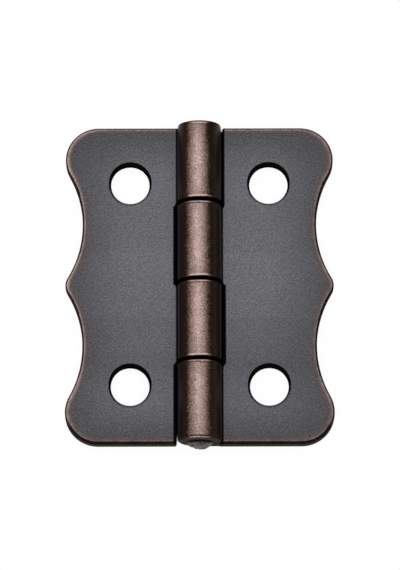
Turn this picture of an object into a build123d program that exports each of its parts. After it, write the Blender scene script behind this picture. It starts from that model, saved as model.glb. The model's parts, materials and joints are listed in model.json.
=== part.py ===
from build123d import *

import os
from math import asin, atan2, degrees, sqrt

# A small box hinge, opened flat: two scalloped leaves of sheet steel, each rolled into two
# knuckles round one riveted pin. It lies on its back. X runs across the leaves, Y along the
# barrel and Z out of the face that shows. The origin is on the back plane, under the middle of
# the barrel. Sizes are in millimetres.

# The sheet, and the outline of a leaf measured from the pin's axis
sheet = 1.4
leaf_reach = 15.0
leaf_length = 36.4
corner_radius = 3.7
waist_radius = 12.0
cusp_radius = 1.6
front_edge_round = 0.25
back_edge_round = 0.1

# The screw holes, two in a line on each leaf, punched from the front: the edge is drawn in there,
# then comes a short straight land, and from it the hole breaks out wider to the back
hole_diameter = 4.3
hole_from_axis = 7.75
hole_spacing = 23.2
hole_edge_round = 0.38
hole_land = 0.17
hole_breakout = 0.2

# The pin and its two riveted heads
pin_diameter = 2.0
head_diameter = 2.9
head_lift = 0.06
head_flare = 0.1
near_head_dome = 0.55
far_head_dome = 0.15
head_rim_round = 0.05

# The rolled knuckles, which the two leaves have by turns
knuckle_count = 4
knuckle_gap = 0.3
knuckle_edge_round = 0.3
bore_edge_round = 0.1
curl_gap = 0.15
pin_clearance = 0.03
notch_clearance = 0.15
notch_corner_radius = 0.2

# What follows from those sizes
half_length = leaf_length / 2
bore_radius = pin_diameter / 2 + pin_clearance
barrel_radius = bore_radius + sheet
barrel_axis = Axis((0, 0, barrel_radius), (0, 1, 0))
knuckle_pitch = leaf_length / knuckle_count
notch_edge = barrel_radius + notch_clearance
tab_root = notch_edge - 2 * notch_corner_radius

# Two places closer than this are the same place
same_place = 1e-5


def knuckle_span(number):
    """Lowest and highest Y of a knuckle, counted from the -Y end, with half a gap on inner ends."""
    low = -half_length + number * knuckle_pitch
    high = low + knuckle_pitch
    if number > 0:
        low += knuckle_gap / 2
    if number < knuckle_count - 1:
        high -= knuckle_gap / 2
    return low, high


def waist_centre(corner, cusp):
    """Centre of the hollow arc that touches both the corner circle and the cusp circle."""
    to_corner = corner_radius + waist_radius
    to_cusp = cusp_radius + waist_radius
    across = cusp - corner
    apart = across.length
    along = (to_corner**2 - to_cusp**2 + apart**2) / (2 * apart)
    aside = sqrt(to_corner**2 - along**2)
    direction = across.normalized()
    outward = Vector(-direction.Y, direction.X)
    return corner + direction * along + outward * aside


def arc_between(centre, radius, start, end):
    """The arc round centre from the direction of start to the direction of end, the short way."""
    first = degrees(atan2(start.Y - centre.Y, start.X - centre.X))
    last = degrees(atan2(end.Y - centre.Y, end.X - centre.X))
    turn = (last - first + 180) % 360 - 180
    return CenterArc(centre, radius, first, turn)


def scalloped_edge():
    """The outer side of a leaf from its -Y end to its +Y end: lobe, waist, cusp, waist, lobe."""
    corner = Vector(leaf_reach - corner_radius, half_length - corner_radius)
    cusp = Vector(leaf_reach - cusp_radius, 0)
    waist = waist_centre(corner, cusp)
    corner_end = corner + Vector(0, corner_radius)
    corner_to_waist = corner + (waist - corner).normalized() * corner_radius
    cusp_to_waist = cusp + (waist - cusp).normalized() * cusp_radius
    upper = [
        arc_between(waist, waist_radius, cusp_to_waist, corner_to_waist),
        arc_between(corner, corner_radius, corner_to_waist, corner_end),
    ]
    lower = [edge.mirror(Plane.XZ) for edge in upper]
    cusp_start = Vector(cusp_to_waist.X, -cusp_to_waist.Y)
    return lower + [arc_between(cusp, cusp_radius, cusp_start, cusp_to_waist)] + upper


def notched_edge(tabs):
    """Points of a leaf's inner side: straight beside the barrel, stepped inwards at each tab."""
    points = []
    if tabs[0][0] > -half_length:
        points.append((notch_edge, -half_length))
    for low, high in tabs:
        if low > -half_length:
            points.append((notch_edge, low))
        points.append((tab_root, low))
        points.append((tab_root, high))
        if high < half_length:
            points.append((notch_edge, high))
    if tabs[-1][1] < half_length:
        points.append((notch_edge, half_length))
    return points


def punched_hole():
    """What a punch takes out of the sheet at one hole, before its rims are rounded."""
    radius = hole_diameter / 2
    land_back = sheet - hole_edge_round - hole_land
    broken = Cone(radius + hole_breakout, radius, land_back, align=(Align.CENTER, Align.CENTER, Align.MIN))
    cut = Cylinder(radius, sheet, align=(Align.CENTER, Align.CENTER, Align.MIN))
    return cut + broken


def leaf_plate(tabs):
    """The flat of a leaf with its scalloped outline, tab roots, rounded edges and screw holes."""
    inner = notched_edge(tabs)
    corner_start = leaf_reach - corner_radius
    ends = [
        Line(inner[0], (corner_start, -half_length)),
        Line(inner[-1], (corner_start, half_length)),
    ]
    outline = make_face(ends + scalloped_edge() + Polyline(*inner).edges())
    corners = outline.vertices().filter_by(lambda v: abs(v.X - notch_edge) < same_place)
    plate = extrude(fillet(corners, notch_corner_radius), amount=sheet)
    for height, size in ((sheet, front_edge_round), (0, back_edge_round)):
        rim = plate.edges().filter_by_position(Axis.Z, height - same_place, height + same_place)
        rim = rim.filter_by(lambda e: e.center().X > tab_root + same_place)
        plate = fillet(rim, size)
    for end in (1, -1):
        plate -= Pos(hole_from_axis, end * hole_spacing / 2) * punched_hole()
    hole_radius = hole_diameter / 2
    for radius, size in ((hole_radius, hole_edge_round), (hole_radius + hole_breakout, back_edge_round)):
        rims = plate.edges().filter_by(GeomType.CIRCLE)
        rims = rims.filter_by(lambda e: abs(e.radius - radius) < same_place)
        outer_rims = rims.filter_by(lambda e: min(e.center().Z, sheet - e.center().Z) < same_place)
        plate = fillet(outer_rims, size)
    return plate


def rolled_knuckle(low, high):
    """One tab of the sheet, straight from its root and then curled round the pin."""
    section = Rectangle(high - low, sheet)
    section = fillet(section.vertices().group_by(Axis.Y)[0], knuckle_edge_round)
    section = fillet(section.vertices().group_by(Axis.Y)[-1], bore_edge_round)
    section = Plane.YZ * Pos((low + high) / 2, sheet / 2) * section
    end_drop = degrees(asin((bore_radius - curl_gap) / barrel_radius))
    curl = revolve(section, axis=barrel_axis, revolution_arc=270 + end_drop)
    straight = extrude(section, amount=tab_root, dir=(1, 0, 0))
    return straight + curl


def leaf(numbers):
    """A whole leaf on the +X side, with the knuckles of the given numbers."""
    tabs = [knuckle_span(number) for number in numbers]
    body = leaf_plate(tabs)
    for low, high in tabs:
        body += rolled_knuckle(low, high)
    return body


def pin_half(dome):
    """The pin from its middle to its +Y end, hammered over there into a dome of that height."""
    shank_radius = pin_diameter / 2
    head_radius = head_diameter / 2
    neck = half_length + head_lift
    rim = neck + head_flare
    tip = rim + dome
    profile = make_face([
        Line((0, 0), (0, tip)),
        TangentArc((0, tip), (head_radius, rim), tangent=(1, 0)),
        Line((head_radius, rim), (shank_radius, neck)),
        Line((shank_radius, neck), (shank_radius, 0)),
        Line((shank_radius, 0), (0, 0)),
    ])
    half = revolve(profile, axis=Axis.Y)
    rim_edge = half.edges().filter_by(GeomType.CIRCLE)
    rim_edge = rim_edge.filter_by(lambda e: abs(e.radius - head_radius) < same_place)
    return fillet(rim_edge, head_rim_round)


def riveted_pin():
    """The whole pin, its heads just clear of the barrel's ends, high at -Y and almost flat at +Y."""
    near_half = mirror(pin_half(near_head_dome), about=Plane.XZ)
    return Pos(0, 0, barrel_radius) * (near_half + pin_half(far_head_dome))


pieces = {
    "right_leaf": leaf(range(0, knuckle_count, 2)),
    "left_leaf": mirror(leaf(range(1, knuckle_count, 2)), about=Plane.YZ),
    "hinge_pin": riveted_pin(),
}

os.makedirs("parts", exist_ok=True)
for name, piece in pieces.items():
    export_step(piece, f"parts/{name}.step")
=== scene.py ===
import json
from math import cos, pi, radians, sin, sqrt, tan

import bmesh
import bpy
from mathutils import Matrix, Vector, noise


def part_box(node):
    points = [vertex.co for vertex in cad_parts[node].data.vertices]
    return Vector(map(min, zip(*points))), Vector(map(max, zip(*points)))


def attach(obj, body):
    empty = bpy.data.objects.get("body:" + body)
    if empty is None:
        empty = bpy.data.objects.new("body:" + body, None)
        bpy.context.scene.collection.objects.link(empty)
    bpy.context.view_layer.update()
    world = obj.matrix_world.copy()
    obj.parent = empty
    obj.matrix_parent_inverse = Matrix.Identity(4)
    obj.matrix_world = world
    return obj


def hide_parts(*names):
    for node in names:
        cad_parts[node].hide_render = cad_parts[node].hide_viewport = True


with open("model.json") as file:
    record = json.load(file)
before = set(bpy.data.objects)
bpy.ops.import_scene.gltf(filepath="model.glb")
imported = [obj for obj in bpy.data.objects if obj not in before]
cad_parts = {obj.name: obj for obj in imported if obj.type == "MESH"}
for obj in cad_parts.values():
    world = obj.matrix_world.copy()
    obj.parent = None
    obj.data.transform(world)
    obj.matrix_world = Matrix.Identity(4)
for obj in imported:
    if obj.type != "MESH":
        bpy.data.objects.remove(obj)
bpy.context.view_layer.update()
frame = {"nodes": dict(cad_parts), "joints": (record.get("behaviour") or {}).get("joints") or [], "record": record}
millimetre = 0.001

# The two leaves. Each is one stamping of sheet steel with a scalloped outline and two screw holes,
# its tabs rolled into knuckles. The plating is copper, blackened all over and then rubbed back,
# so that bare copper shows on the knuckles' crowns and along the edges. Painted highlights and
# painted shade are laid over this finish where marked below.

leaf_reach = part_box("right_leaf")[1].x / millimetre
half_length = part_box("right_leaf")[1].y / millimetre
barrel_radius = frame["joints"][0]["pos_m"][2] / millimetre
knuckle_pitch = 2 * half_length / 4
knuckle_gap = 0.3
corner_radius = 3.7
waist_radius = 12.0
cusp_radius = 1.6
screw_holes = next(m for m in frame["record"]["mounts"] if m["name"] == "right_screw_holes")
hole_across = screw_holes["pos_m"][0] / millimetre
hole_along = screw_holes["dims"]["spacing_y_mm"] / 2
hole_radius = screw_holes["dims"]["hole_r_mm"]

slate_patina = (0.072, 0.0695, 0.0755, 1)
slate_sheen = (0.146, 0.143, 0.157, 1)
brown_patina_and_shade = (0.042, 0.0225, 0.016, 1)
edge_brown = (0.112, 0.079, 0.066, 1)
warm_copper = (0.158, 0.102, 0.081, 1)
rubbed_copper_and_highlight = (0.485, 0.345, 0.312, 1)
copper_wear_and_glint = (0.56, 0.385, 0.355, 1)
copper_glint = (0.86, 0.68, 0.65, 1)
cut_steel = (0.074, 0.061, 0.055, 1)
# The black below is painted shade, used on lips, creases, holes, the barrel's flanks, inner knuckle ends, the
# pin's neck and the slots in the floor.
shade_black = (0.004, 0.0035, 0.003, 1)


class Tone:
    """A node socket that operators work on, so that a finish is sums of masks and colours."""

    def __init__(self, tree, socket=None):
        self.tree = tree
        self.socket = socket

    def node(self, kind, settings, sockets, output=0):
        """Adds one node: its settings first, then a value or a link for each named socket."""
        made = self.tree.nodes.new(kind)
        for name, value in settings.items():
            setattr(made, name, value)
        for name, value in sockets.items():
            if isinstance(value, Tone):
                self.tree.links.new(value.socket, made.inputs[name])
            else:
                made.inputs[name].default_value = value
        return Tone(self.tree, made.outputs[output])

    def math(self, operation, *values):
        return self.node("ShaderNodeMath", {"operation": operation}, dict(enumerate(values)))

    def __add__(self, other):
        return self.math("ADD", self, other)

    __radd__ = __add__

    def __sub__(self, other):
        return self.math("SUBTRACT", self, other)

    def __rsub__(self, other):
        return self.math("SUBTRACT", other, self)

    def __mul__(self, other):
        if self.socket.type == "VECTOR":
            return self.node("ShaderNodeVectorMath", {"operation": "MULTIPLY"}, {0: self, 1: other})
        return self.math("MULTIPLY", self, other)

    __rmul__ = __mul__

    def __truediv__(self, other):
        return self.math("DIVIDE", self, other)

    def __pow__(self, other):
        return self.math("POWER", self, other)

    def __abs__(self):
        return self.math("ABSOLUTE", self)

    def __lt__(self, other):
        return self.math("LESS_THAN", self, other)

    def __gt__(self, other):
        return self.math("GREATER_THAN", self, other)

    def least(self, other):
        return self.math("MINIMUM", self, other)

    def most(self, other):
        return self.math("MAXIMUM", self, other)

    def rise(self, start, end):
        """A smooth step of this value, from 0 at start to 1 at end; start may be the higher."""
        low, high = min(start, end), max(start, end)
        step = self.node(
            "ShaderNodeMapRange",
            {"interpolation_type": "SMOOTHSTEP"},
            {"Value": self, "From Min": low, "From Max": high},
        )
        return step if start < end else 1 - step

    def between(self, colour, other):
        """The first colour where this mask is 0 and the other where it is 1."""
        return self.node("ShaderNodeMix", {"data_type": "RGBA"}, {0: self, 6: colour, 7: other}, 2)

    def grain(self, scale, detail=2.0, roughness=0.5):
        """Noise about 0, from -1 to 1, at this point."""
        speckle = self.node(
            "ShaderNodeTexNoise",
            {},
            {"Vector": self, "Scale": scale, "Detail": detail, "Roughness": roughness},
            "Fac",
        )
        return 2 * speckle - 1

    def parts(self):
        """The three parts of a vector."""
        return [self.node("ShaderNodeSeparateXYZ", {}, {0: self}, axis) for axis in range(3)]


def length(across, along):
    return (across * across + along * along) ** 0.5


def new_finish(name):
    """A material with an empty Principled shader, that shader, and a tone to make its nodes with."""
    material = bpy.data.materials.new(name)
    material.use_nodes = True
    shader = material.node_tree.nodes["Principled BSDF"]
    return material, shader, Tone(material.node_tree)


def feed(shader, **tones):
    """Links tones to the shader's sockets, named with _ for each space."""
    for name, tone in tones.items():
        tone.tree.links.new(tone.socket, shader.inputs[name.replace("_", " ")])


def outline_distance(across, along):
    """How far in from a leaf's scalloped outline a point lies, in millimetres."""
    corner = Vector((leaf_reach - corner_radius, half_length - corner_radius))
    cusp = Vector((leaf_reach - cusp_radius, 0))
    to_cusp = cusp - corner
    far, near = corner_radius + waist_radius, cusp_radius + waist_radius
    down = (far**2 - near**2 + to_cusp.length_squared) / (2 * to_cusp.length)
    aside = sqrt(far**2 - down**2)
    way = to_cusp.normalized()
    waist = corner + way * down + Vector((-way.y, way.x)) * aside
    corner_foot = corner + (waist - corner).normalized() * corner_radius
    cusp_foot = cusp + (waist - cusp).normalized() * cusp_radius
    from_corner = corner_radius - length((across - corner.x).most(0), along - corner.y)
    from_waist = length(across - waist.x, along - waist.y) - waist_radius
    from_cusp = cusp_radius - length((across - cusp.x).most(0), along) + (cusp.x - across).most(0)
    outside_corner = along < corner_foot.y
    past_cusp = along > cusp_foot.y
    side = past_cusp * from_waist + (1 - past_cusp) * from_cusp
    return outside_corner * side + (1 - outside_corner) * from_corner


leaf_finish, leaf_shader, leaf = new_finish("antique_copper_finish")
in_millimetres = (1 / millimetre,) * 3
place = leaf.node("ShaderNodeTexCoord", {}, {}, "Object") * in_millimetres
facing = leaf.node("ShaderNodeTexCoord", {}, {}, "Normal")
x, y, z = place.parts()
face_x, face_y, face_z = facing.parts()
across, along = abs(x), abs(y)
left, right = x < 0, x > 0

knuckle_skin = 0.05
above_axis = z - barrel_radius
from_axis = length(x, above_axis)
knuckle = from_axis.rise(barrel_radius + knuckle_skin, barrel_radius + 0.4 * knuckle_skin)
crown = above_axis / barrel_radius

cloud = place.grain(0.22, 3.0)
mottle = place.grain(1.3, 3.0, 0.6)
fine = place.grain(8.0, 1.0)
streak = (place * (1.0, 0.3, 1.0)).grain(1.6, 4.0, 0.65)
flecks = (place * (1.0, 0.45, 1.0)).grain(3.6, 3.0, 0.65)

# The face of a leaf carries a painted reflection of the soft box: lighter in its middle and darker
# toward its ends, its sides and its lower right, with a darker and a paler band across its lower
# half, over a random cloud of tone.
in_from_end = (half_length - along).rise(-1.0, 6.0)
in_from_side = (leaf_reach + 1.5 - across).rise(0, 10.0)
sheen_middle = abs(y - 5.0).rise(12.0, 0)
darker_lower_right = (0.5 * x - y).rise(4.0, 18.0)
dark_belt = abs(y + 9.4).rise(2.8, 0)
pale_belt = abs(y + 15.0).rise(3.5, 0)
painted_sheen = 0.74 + 0.26 * sheen_middle - 0.26 * darker_lower_right - 0.14 * dark_belt + 0.2 * pale_belt
sheen_and_cloud = in_from_end * in_from_side * painted_sheen + 0.12 * cloud
plate = sheen_and_cloud.most(0).least(1).between(slate_patina, slate_sheen)

# Bare copper shows along the outline, between a black lip and a border that has turned brown.
# It is painted stronger on the left leaf's sides, at its point and at the far end, a painted
# highlight where those edges face the light, and weaker at the near end, a painted shade. The
# black lip is painted shade, and wider at the near ends.
lip_width = 0.24
near_lip = 0.10
end_border = 2.2
brown_border = 1.3
edge = outline_distance(across, along)
at_far_end = y > half_length - end_border
at_near_end = y < end_border - half_length
at_sides = across.rise(10.5, 13.0)
point_glint = abs(y - 0.1).rise(0.7, 0.1) * left
lit_left_side = at_sides * left * (1 - 0.5 * y.rise(-13.0, -17.0) - 0.2 * y.rise(0, -2.0))
wear_and_glint_share = 0.25 + 0.32 * lit_left_side + 0.3 * point_glint + 0.08 * at_far_end - 0.12 * at_near_end
wear_and_glint_share = (wear_and_glint_share + 0.40 * mottle).most(0.06).least(1)
wear_width = 0.26 + 0.14 * along.rise(8.5, 11.5) * at_sides + 0.12 * point_glint
near_part = y.rise(-14.5, -16.5)
inside_lip = edge - lip_width - near_lip * near_part
wear_and_glint = (1 - inside_lip / wear_width).most(0).least(1) ** 1.7 * wear_and_glint_share
browned = (0.6 - 0.2 * at_far_end) * edge.rise(brown_border, 0.1) * (1 + 1.2 * mottle)
plate = browned.between(plate, edge_brown)
plate = wear_and_glint.between(plate, copper_wear_and_glint)

# Beside the barrel the leaf is painted black, a painted shade where it runs under the barrel,
# reaching further out where the other leaf's knuckle turns. A faint copper line lies just beyond it.
turning_room = 0.31
narrow_slot = 0.12
wave = leaf.math("SINE", y * (pi / knuckle_pitch))
turning_side = (x * wave) < 0
narrowed = right * (y > knuckle_pitch)
beside = across - barrel_radius - (turning_room - narrow_slot * narrowed) * turning_side
faint_edge = 0.03 * beside.rise(0.17, 0.29) * beside.rise(0.52, 0.37)
crease_shade = beside.rise(0.29, 0.12) * face_z.rise(-0.6, -0.2)
plate = faint_edge.between(plate, copper_wear_and_glint)
plate = crease_shade.between(plate, shade_black)

# The rounded edge is black where it turns from the light, and the cut wall below it is bare.
up_from_hole = y - hole_along * (1 - 2 * (y < 0))
bore_distance = length(across - hole_across, up_from_hole)
from_bore = bore_distance - hole_radius
hollow = along.rise(2.5, 4.0) * along.rise(11.5, 9.5)
turned_away = face_z + 0.3 * face_y.least(0) - 0.06 * face_y.most(0)
turned_away = turned_away - 0.3 * face_x.most(0) + 0.2 * face_x.least(0) - 0.10 * hollow
front_side = face_z.rise(0.05, 0.3)
lip = turned_away.rise(0.92, 0.78) * front_side * (from_bore > 0.6)
lip = lip.most(near_part * edge.rise(0.37, 0.29) * front_side)
wall = abs(face_z).rise(0.35, 0.15)
plate = (0.94 * lip).between(plate, shade_black)
plate = wall.between(plate, cut_steel)

# The holes are painted black inside and over the upper part of their drawn-in rims, a painted shade.
upward = up_from_hole / bore_distance
below = upward.least(0)
black_rim = 0.24 + 0.23 * upward.most(0) - 0.37 * below * below
bore = (from_bore - black_rim).rise(0.03, -0.03)
bore = bore.most((from_bore < 0.4) * face_z.rise(0.5, 0.35))
plate = bore.between(plate, shade_black)

# The knuckles are brown, and rubbed to copper on their crowns, a little to the left. The copper's
# width and its shift to the left follow the soft box's highlight, so it is partly a painted
# highlight. It is less near each knuckle's ends, on the lowest knuckle and toward both ends of the
# barrel.
crown_shift = 0.18
from_gap = leaf.math("PINGPONG", along, knuckle_pitch / 2)
outermost = along > half_length - knuckle_pitch / 2
from_end = from_gap - 0.5 * knuckle_gap * (1 - outermost)
from_crown = abs(x + crown_shift + 0.002 * y) / barrel_radius - 0.03 * x.rise(0.5, 1.1)
from_crown = from_crown + 0.12 * streak + 0.20 * flecks - 0.16 * fine + 0.025 * (y < 0)
from_crown = from_crown + 2 * crown.rise(0.5, 0.2) + 0.08 * y.rise(13.5, 17.5)
lowest_knuckle = y < knuckle_pitch - half_length
crown_copper_share = 0.70 + 0.30 * from_end.rise(0.2, 2.6) - 0.10 * lowest_knuckle
crown_copper_share = crown_copper_share - 0.12 * y.rise(-12.5, -15.5) - 0.1 * y.rise(15.0, 17.5)
barrel = from_crown.rise(0.58, 0.36).between(brown_patina_and_shade, warm_copper)
barrel = (from_crown.rise(0.48, -0.04) * crown_copper_share).between(barrel, rubbed_copper_and_highlight)
# The barrel's flanks are painted darker, a painted shade.
barrel = (0.4 * across.rise(1.45, 1.95)).between(barrel, shade_black)

# Each knuckle's end has a bright copper lip. On its crown it is a painted highlight, with a paler
# painted glint on the upper ends below the top one and on the lowest end, and a dark line behind
# it on the upper ends and the lowest one is a painted dark reflection. The inner end faces are
# painted black, a painted shade between the knuckles; the outermost ones are bare cut steel.
upper_end = leaf.math("FRACT", (y + half_length) / knuckle_pitch) > 0.5
lowest_end = y < knuckle_pitch / 2 - half_length
topmost_end = y > half_length - knuckle_pitch / 2
lined_end = upper_end.most(lowest_end)
line_strength = (0.8 + 0.2 * lowest_end + 0.6 * mottle).least(1).most(0) * lined_end
line_place = from_end + 0.06 * upper_end + 0.15 * lowest_end - 0.12 * topmost_end
end_line = line_place.rise(0.32, 0.37) * (line_place - 0.06 * lowest_end).rise(0.48, 0.43)
end_line = end_line * line_strength * (1 - 0.5 * topmost_end)
turned = (face_y * (1 + 0.9 * topmost_end)).most(-1.45 * face_y) - 0.25 * lowest_end
end_edge = line_place.rise(0.34, 0.28) * turned.rise(0.92, 0.75)
end_face = turned.rise(0.86, 0.97)
at_crown = (crown + 0.1 * streak - 0.08 * topmost_end).rise(0.80, 0.95)
glint_at_crown = lined_end * (1 - topmost_end) * crown.rise(0.88, 0.96)
barrel = end_line.between(barrel, brown_patina_and_shade)
barrel = (end_edge * at_crown).between(barrel, copper_wear_and_glint)
barrel = (end_edge * glint_at_crown).between(barrel, copper_glint)
barrel = end_face.between(barrel, outermost.between(shade_black, cut_steel))

# A fine grain lies over it all, coarser and streaked on the knuckles.
speckle = (1.05 - 0.15 * knuckle - 0.55 * knuckle * end_edge) * fine + 0.10 * mottle
speckle = speckle + knuckle * (1 - end_edge) * (0.45 * flecks + 0.3 * streak + 0.25 * mottle)
brightness = leaf.math("EXPONENT", speckle)
colour = leaf.node(
    "ShaderNodeVectorMath",
    {"operation": "SCALE"},
    {0: knuckle.between(plate, barrel), "Scale": brightness},
)
end_turn = abs(face_y).rise(0.12, 0.3) * (1 - at_crown)
dull_knuckle = (end_face + end_turn).least(1)
dull_plate = (wall + lip + bore + crease_shade).least(1)

feed(
    leaf_shader,
    Base_Color=colour,
    Roughness=0.42 + 0.05 * fine + 0.03 * mottle - 0.04 * knuckle - 0.14 * knuckle * end_edge,
    Metallic=1 - (knuckle * dull_knuckle + (1 - knuckle) * dull_plate),
    Normal=leaf.node(
        "ShaderNodeBump",
        {},
        {"Strength": 0.3, "Distance": 0.02 * millimetre, "Height": fine + 0.5 * mottle},
    ),
)
leaf_shader.inputs["Specular IOR Level"].default_value = 0.0

for node in ("left_leaf", "right_leaf"):
    leaf_object = frame["nodes"][node]
    leaf_object.material_slots[0].material = leaf_finish

# The hinge pin. It is a length of drawn steel wire pushed through all four knuckles, and each end
# is hammered over into a low uneven dome that keeps it in.

pin_radius = 1.0
head_radius = 1.45
head_lift = 0.06
head_flare = 0.1
pin_low, pin_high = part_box("hinge_pin")
near_tip = -pin_low.y / millimetre
far_tip = pin_high.y / millimetre
head_rings = 30
pin_segments = 96
neck_depth = 0.5
dent_spacing = 0.5
dent_depth = 0.22
mean_dent = 0.25
lump_height = 0.11
broad_lumps = 1.4
small_lumps = 4.3
rim_swell = 0.05
full_dome = 0.6
fade_rings = 5

pin_steel = (0.185, 0.165, 0.148, 1)
pin_dark = (0.030, 0.026, 0.023, 1)


def head_profile(tip):
    """Radius and place along the pin of a head's rings, from the shank to the tip of its dome."""
    neck = half_length + head_lift
    rim = neck + head_flare
    dome = tip - rim
    sphere = (head_radius**2 + dome**2) / (2 * dome)
    rings = [(pin_radius, half_length - neck_depth), (pin_radius, neck)]
    for step in range(head_rings):
        radius = head_radius * cos(pi / 2 * step / head_rings)
        rings.append((radius, tip - sphere + sqrt(sphere**2 - radius**2)))
    return rings


def hammered(point, strength):
    """How far the hammer left a point of a head above or below its dome, in millimetres."""
    dents = noise.voronoi(point / dent_spacing)[0][0] ** 2 - mean_dent
    lumps = noise.noise(point * broad_lumps) + 0.4 * noise.noise(point * small_lumps)
    return strength * (dent_depth * dents + lump_height * lumps)


pin_mesh = bmesh.new()
pin_middle = Vector((0, 0, barrel_radius))
for tip, way in ((near_tip, -1), (far_tip, 1)):
    strength = min(1, (tip - half_length) / full_dome)
    rings = []
    for number, (radius, along_pin) in enumerate(head_profile(tip)):
        ring = []
        for segment in range(pin_segments):
            angle = 2 * pi * segment / pin_segments
            point = Vector((radius * cos(angle), way * along_pin, radius * sin(angle)))
            if number > 1:
                uneven = noise.noise(Vector((cos(angle), sin(angle), 3.0 * way)))
                swell = 1 + rim_swell * strength * uneven
                past_rim = number - 2
                depth = hammered(point, strength) * past_rim / (past_rim + fade_rings)
                point = Vector((point.x * swell, point.y + way * depth, point.z * swell))
            ring.append(pin_mesh.verts.new((pin_middle + point) * millimetre))
        rings.append(ring)
    for inner, outer in zip(rings, rings[1:]):
        for segment in range(pin_segments):
            other = (segment + 1) % pin_segments
            pin_mesh.faces.new((inner[segment], inner[other], outer[other], outer[segment]))
    crown_point = Vector((0, way * tip, 0))
    crown_point.y += way * hammered(crown_point, strength)
    crown_vert = pin_mesh.verts.new((pin_middle + crown_point) * millimetre)
    for segment in range(pin_segments):
        pin_mesh.faces.new((rings[-1][segment], rings[-1][(segment + 1) % pin_segments], crown_vert))
    if way < 0:
        near_ring = rings[0]
    else:
        far_ring = rings[0]
        for segment in range(pin_segments):
            other = (segment + 1) % pin_segments
            corners = (near_ring[other], near_ring[segment], far_ring[segment], far_ring[other])
            pin_mesh.faces.new(corners)
bmesh.ops.recalc_face_normals(pin_mesh, faces=pin_mesh.faces)
pin_data = bpy.data.meshes.new("riveted_pin")
pin_mesh.to_mesh(pin_data)
pin_mesh.free()
for face in pin_data.polygons:
    face.use_smooth = True
riveted_pin = bpy.data.objects.new("riveted_pin", pin_data)
bpy.context.scene.collection.objects.link(riveted_pin)

pin_finish, pin_shader, pin = new_finish("hammered_pin_steel")
place = pin.node("ShaderNodeTexCoord", {}, {}, "Object") * in_millimetres
y = place.parts()[1]
blotches = place.grain(3.2, 3.0, 0.6)
fine = place.grain(9.0)
steel = (0.45 + 1.3 * blotches + 0.4 * fine).least(1).most(0).between(pin_dark, pin_steel)
# Near the knuckles' ends the pin is painted black, a painted shadow in the gap under each head's rim, a little
# wider at the near end.
past_barrel = abs(y) - half_length - 0.07 * (y < 0)
out_of_shadow = (past_barrel + 0.05 * blotches).rise(0.14, 0.30)
feed(
    pin_shader,
    Base_Color=out_of_shadow.between(shade_black, steel),
    Roughness=0.46 + 0.1 * fine,
    Normal=pin.node(
        "ShaderNodeBump",
        {},
        {"Strength": 0.5, "Distance": 0.03 * millimetre, "Height": blotches + 0.4 * fine},
    ),
)
pin_shader.inputs["Metallic"].default_value = 0.6
pin_data.materials.append(pin_finish)
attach(riveted_pin, "left_half")
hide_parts("hinge_pin")

# The floor. A pale sheet that the hinge lies on, so white in this light that it shows only a faint
# shadow, and painted black deep in the slots beside the barrel, a painted shade. Reflections see
# the white ground of the room through it, and from below it hides nothing.

floor_size = 6.0
floor_drop = 0.03 * millimetre
shade_reach = 1.6 * millimetre
slot_side = 3.0
faint_shadow = 0.1
pale_sheet = (0.95, 0.95, 0.95, 1)

bpy.ops.mesh.primitive_plane_add(size=floor_size, location=(0, 0, -floor_drop))
floor = bpy.context.object
floor.name = "floor"
floor_finish, floor_shader, ground = new_finish("pale_floor")
floor_shader.inputs["Roughness"].default_value = 1.0
floor_shader.inputs["Specular IOR Level"].default_value = 0.0
rays = [
    ground.node("ShaderNodeLightPath", {}, {}, name)
    for name in ("Is Camera Ray", "Is Glossy Ray", "Is Transmission Ray", "Is Shadow Ray")
]
openness = ground.node(
    "ShaderNodeAmbientOcclusion", {"samples": 64}, {"Distance": shade_reach}, "AO"
)
floor_place = ground.node("ShaderNodeTexCoord", {}, {}, "Object") * in_millimetres
floor_x, floor_y = floor_place.parts()[:2]
slot_end = 0.2 * floor_y.rise(-15.5, -18.0) - 0.16 * floor_y.rise(17.2, 18.2) * (floor_x > 0)
past_slots = abs(floor_x).rise(slot_side, slot_side + 0.3)
in_the_open = (openness + slot_end).rise(0.35, 0.6).most(past_slots)
unshaded = in_the_open * (1 - faint_shadow * (1 - openness))
feed(floor_shader, Base_Color=in_the_open.between(shade_black, pale_sheet))
from_below = ground.node("ShaderNodeNewGeometry", {}, {}, "Backfacing")
seen_through = (rays[0] * unshaded.most(from_below) + rays[1] + rays[2] + rays[3]).least(1)
surface = ground.node(
    "ShaderNodeMixShader",
    {},
    {
        0: seen_through,
        1: Tone(ground.tree, floor_shader.outputs[0]),
        2: ground.node("ShaderNodeBsdfTransparent", {}, {}),
    },
)
ground.tree.links.new(surface.socket, ground.tree.nodes["Material Output"].inputs["Surface"])
floor.data.materials.append(floor_finish)

# The light. One large soft box hangs over the hinge, a little to the left, with a panel on its
# right and a low strip beyond each end. The room is dim but for its white ground, and white all
# round to the camera.


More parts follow.
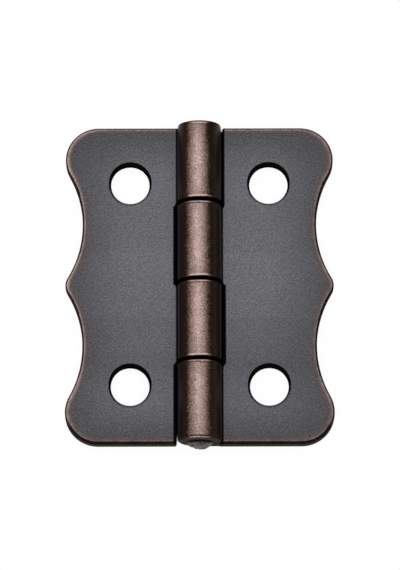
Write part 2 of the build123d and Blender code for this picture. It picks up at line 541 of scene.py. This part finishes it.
def soft_light(name, middle, width, depth, radiance):
    """A rectangular lamp of even radiance that faces the hinge."""
    lamp = bpy.data.lights.new(name, "AREA")
    lamp.shape = "RECTANGLE"
    lamp.size = width
    lamp.size_y = depth
    lamp.energy = radiance * pi * width * depth
    holder = bpy.data.objects.new(name, lamp)
    holder.location = middle
    holder.rotation_mode = "QUATERNION"
    holder.rotation_quaternion = Vector(middle).to_track_quat("Z", "Y")
    holder.visible_camera = False
    bpy.context.scene.collection.objects.link(holder)


box_height = 0.75
box_left, box_right = (box_height * tan(radians(angle)) for angle in (-50, 36))
box_near, box_far = (box_height * tan(radians(angle)) for angle in (-54, 52))
soft_light(
    "soft_box",
    middle=((box_left + box_right) / 2, (box_near + box_far) / 2, box_height),
    width=box_right - box_left,
    depth=box_far - box_near,
    radiance=1.16,
)
soft_light("far_strip", middle=(0, 0.62, 0.17), width=0.9, depth=0.22, radiance=0.9)
soft_light("near_strip", middle=(0, -0.62, 0.17), width=0.9, depth=0.22, radiance=0.5)
soft_light("right_panel", middle=(0.62, 0, 0.36), width=0.35, depth=1.2, radiance=0.5)

dim_grey = (0.03, 0.03, 0.032, 1)
white = (1, 1, 1, 1)
room = bpy.data.worlds.new("dim_room")
bpy.context.scene.world = room
room.use_nodes = True
walls = Tone(room.node_tree)
rays = [
    walls.node("ShaderNodeLightPath", {}, {}, name)
    for name in ("Is Camera Ray", "Is Glossy Ray", "Is Transmission Ray")
]
downward = walls.node("ShaderNodeTexCoord", {}, {}, "Generated").parts()[2] < 0
seen_white = (rays[0] + (rays[1] + rays[2]) * downward).least(1)
wall_colour = seen_white.between(dim_grey, white)
walls.tree.links.new(wall_colour.socket, walls.tree.nodes["Background"].inputs["Color"])

# The camera. It looks down on the hinge from a little towards the riveted end that shows.

picture_height = 570
pixels_per_metre = 8930
camera_distance = 0.590
camera_tilt = radians(14)
camera_roll = radians(-0.12)
aim = Vector((0.05, 0.335, 0)) * millimetre
camera_data = bpy.data.cameras.new("camera")
camera_data.sensor_width = 36
camera_data.lens = camera_data.sensor_width * camera_distance * pixels_per_metre / picture_height
camera = bpy.data.objects.new("camera", camera_data)
turn = Matrix.Rotation(camera_tilt, 4, "X") @ Matrix.Rotation(camera_roll, 4, "Z")
camera.matrix_world = Matrix.Translation(aim) @ turn @ Matrix.Translation((0, 0, camera_distance))
bpy.context.scene.collection.objects.link(camera)
bpy.context.scene.camera = camera
bpy.context.scene.view_settings.view_transform = "Standard"
